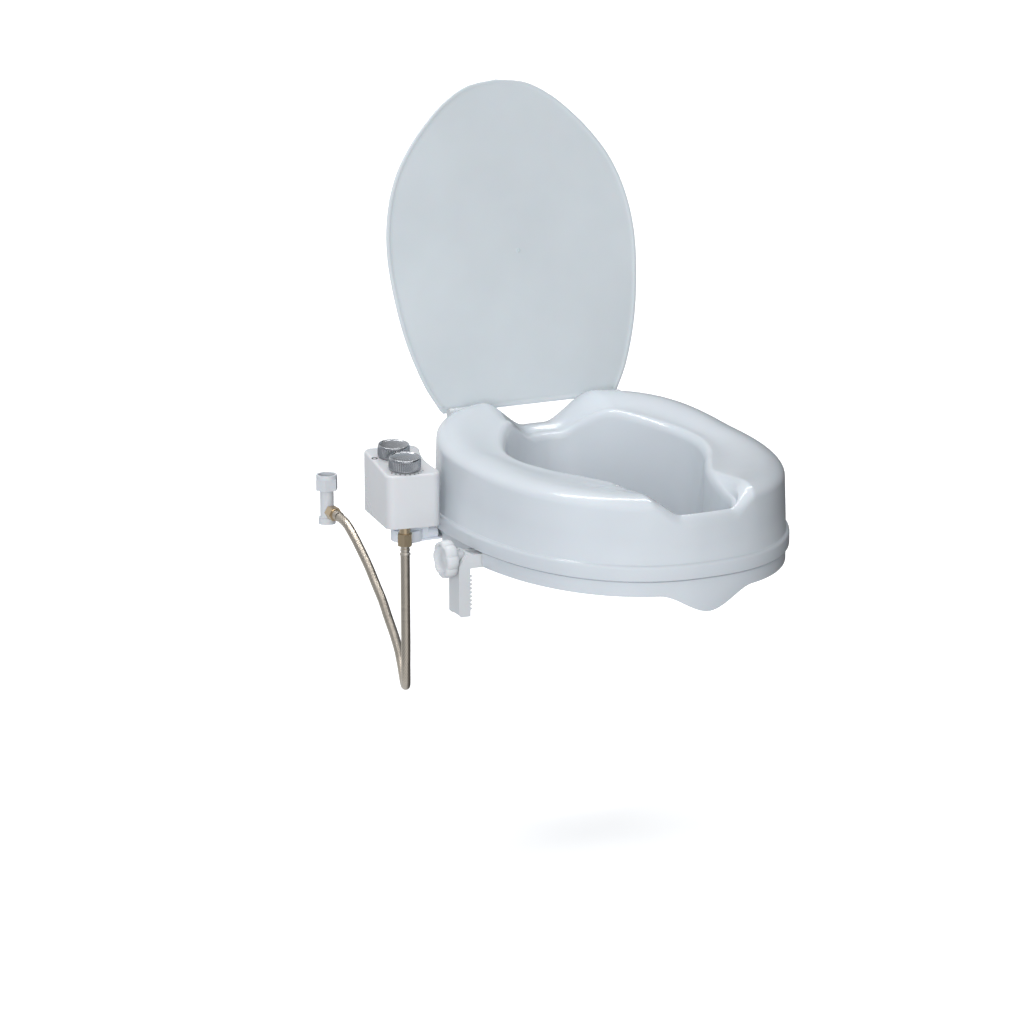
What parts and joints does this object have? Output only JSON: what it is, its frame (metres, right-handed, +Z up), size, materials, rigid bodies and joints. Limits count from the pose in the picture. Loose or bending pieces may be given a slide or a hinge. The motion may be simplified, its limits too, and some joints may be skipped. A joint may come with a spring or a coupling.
{
  "type": "raised toilet seat",
  "caption": "Raised toilet seat with a hinged lid, side clamps with star knobs, and a bidet attachment fed by a braided hose.",
  "frame": {"origin": "centre of the plane of the bowl's rim, on which the seat's pads rest", "axes": "+Z up out of the bowl, -Y towards the front of the seat, +X towards the side opposite the control box"},
  "size_m": [0.5098, 0.646, 0.7112],
  "materials": {
    "seat_white": "moulded, glossy",
    "base_white": "moulded, glossy",
    "lid_white": "moulded, satin",
    "fitting_white": "moulded, satin",
    "clamp_white": "moulded, satin",
    "clamp_nut_grey": "moulded, matt",
    "rubber_pad": "matt",
    "screw_steel": "plain",
    "box_white": "moulded, glossy",
    "dial_silver": "metallic, ribbed",
    "valve_plastic": "moulded",
    "seal_black": "matt",
    "brass": "turned",
    "plate_plastic": "moulded, satin",
    "tube_clear": "milky",
    "braid_steel": "woven stainless braid",
    "ferrule_steel": "pressed",
    "tee_white": "moulded"
  },
  "bodies": {
    "seat": {"seat_shell": "seat_white", "base_ring": "base_white", "rim_pads": "rubber_pad", "base_screws": "screw_steel", "hinge_bracket_left": "fitting_white", "hinge_bracket_right": "fitting_white", "hinge_pin_left": "fitting_white", "hinge_pin_right": "fitting_white", "clamp_nut_left": "clamp_nut_grey", "clamp_nut_right": "clamp_nut_grey", "box_cover": "box_white", "box_base": "box_white", "box_screws": "screw_steel", "valve_body": "valve_plastic", "valve_seals": "seal_black", "inlet_stub": "brass", "mounting_arm": "plate_plastic", "bolt_disc_left": "plate_plastic", "bolt_disc_right": "plate_plastic", "nozzle_housing": "valve_plastic", "nozzle_spring": "screw_steel", "water_tube": "tube_clear", "hose": "braid_steel", "hose_nut_box": "brass", "hose_nut_tee": "brass", "hose_ferrule_box": "ferrule_steel", "hose_ferrule_tee": "ferrule_steel", "hose_washers": "seal_black", "tee_body": "tee_white", "tee_nut": "tee_white", "tee_washer": "seal_black"},
    "lid": {"lid_panel": "lid_white"},
    "clamp_left": {"clamp_arm_left": "clamp_white"},
    "clamp_right": {"clamp_arm_right": "clamp_white"},
    "knob_left": {"clamp_knob_left": "clamp_white", "clamp_screw_left": "clamp_white"},
    "knob_right": {"clamp_knob_right": "clamp_white", "clamp_screw_right": "clamp_white"},
    "pressure_control": {"pressure_spindle": "valve_plastic", "pressure_dial": "dial_silver"},
    "mode_control": {"mode_spindle": "valve_plastic", "mode_dial": "dial_silver"},
    "nozzle": {"nozzle_tube": "valve_plastic"}
  },
  "joints": [
    {"name": "lid_hinge", "type": "hinge", "parent": "seat", "child": "lid", "pos_m": [0, 0.2018, 0.12142], "axis": [1, 0, 0], "range_deg": [0, 107.3]},
    {"name": "clamp_left_slide", "type": "slide", "parent": "seat", "child": "clamp_left", "axis": [1, 0, 0], "range_m": [0, 0.022]},
    {"name": "clamp_right_slide", "type": "slide", "parent": "seat", "child": "clamp_right", "axis": [-1, 0, 0], "range_m": [0, 0.022]},
    {"name": "knob_left_turn", "type": "hinge", "parent": "clamp_left", "child": "knob_left", "pos_m": [-0.2, -0.022, 0.005], "axis": [1, 0, 0], "range_deg": [0, 1985]},
    {"name": "knob_right_turn", "type": "hinge", "parent": "clamp_right", "child": "knob_right", "pos_m": [0.2, 0.07, 0.005], "axis": [-1, 0, 0], "range_deg": [0, 1985]},
    {"name": "pressure_dial_turn", "type": "hinge", "parent": "seat", "child": "pressure_control", "pos_m": [-0.24042, 0.0714, 0.09486], "axis": [-0.0129, -0.0915, 0.9957], "range_deg": [0, 180]},
    {"name": "mode_dial_turn", "type": "hinge", "parent": "seat", "child": "mode_control", "pos_m": [-0.23388, 0.11795, 0.09922], "axis": [-0.0129, -0.0915, 0.9957], "range_deg": [-60, 60]},
    {"name": "nozzle_slide", "type": "slide", "parent": "seat", "child": "nozzle", "axis": [0, -0.9063, -0.4226], "range_m": [0, 0.022], "stiffness_N_per_m": 40, "springref_m": -0.01, "deforming": ["nozzle_spring"]}
  ],
  "couplings": [
    {"joint": "knob_left_turn", "follows": "clamp_left_slide", "rad_per_m": 1570.8},
    {"joint": "knob_right_turn", "follows": "clamp_right_slide", "rad_per_m": 1570.8}
  ]
}
